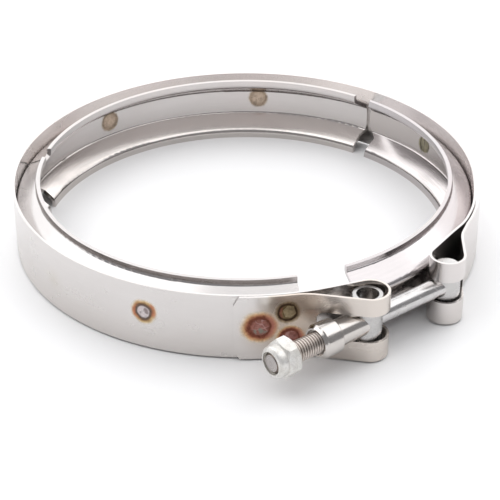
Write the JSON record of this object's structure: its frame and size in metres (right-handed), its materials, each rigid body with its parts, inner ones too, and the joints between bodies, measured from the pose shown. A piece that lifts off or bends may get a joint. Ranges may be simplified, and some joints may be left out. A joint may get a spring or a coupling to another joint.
{
  "type": "v band clamp",
  "caption": "Round stainless V band clamp with a V-section channel inside a slotted strap, closed by a T-bolt, trunnion and lock nut.",
  "frame": {"origin": "centre of the ring, at the middle of the strap's width", "axes": "+Z along the ring's axis, upwards as the clamp lies; the bolt closes the ring at the -Y side, with its nut at the -Y end and its head at the +X side"},
  "size_m": [0.1781, 0.2044, 0.0268],
  "materials": {
    "strap": "bright rolled stainless sheet, light wear and heat tint at the welds",
    "v_retainer_front": "bright rolled stainless sheet",
    "v_retainer_back": "bright rolled stainless sheet",
    "v_retainer_right": "bright rolled stainless sheet",
    "t_bolt": "drawn and rolled stainless steel, brownish in the thread",
    "trunnion_tube": "machined stainless steel",
    "sleeve": "polished turned steel",
    "lock_nut": "silver-white plated steel",
    "nylon_ring": "off-white nylon"
  },
  "bodies": {
    "clamp_band": {"strap": "strap", "v_retainer_front": "v_retainer_front", "v_retainer_back": "v_retainer_back", "v_retainer_right": "v_retainer_right"},
    "bolt": {"t_bolt": "t_bolt"},
    "trunnion": {"trunnion_tube": "trunnion_tube", "sleeve": "sleeve"},
    "nut_insert": {"nylon_ring": "nylon_ring"},
    "nut_shell": {"lock_nut": "lock_nut"}
  },
  "joints": [
    {"name": "t_bolt_swing", "type": "hinge", "parent": "clamp_band", "child": "bolt", "pos_m": [0.07189, -0.06262, 0.0005], "axis": [0, 0, 1], "range_deg": [0, 1.2]},
    {"name": "trunnion_slide", "type": "slide", "parent": "bolt", "child": "trunnion", "axis": [0.7923, 0.6101, 0], "range_m": [0, 0.00115]},
    {"name": "nut_travel", "type": "slide", "parent": "bolt", "child": "nut_insert", "axis": [0.7923, 0.6101, 0], "range_m": [-0.00701, 0.01051]},
    {"name": "nut_spin", "type": "hinge", "parent": "nut_insert", "child": "nut_shell", "pos_m": [0.01199, -0.10875, 0.0005], "axis": [0.7923, 0.6101, 0], "range_deg": [-2380, 3570]}
  ],
  "couplings": [
    {"joint": "trunnion_slide", "follows": "t_bolt_swing", "m_per_rad": 0.0539},
    {"joint": "nut_travel", "follows": "nut_spin", "m_per_rad": 0.00016839}
  ]
}
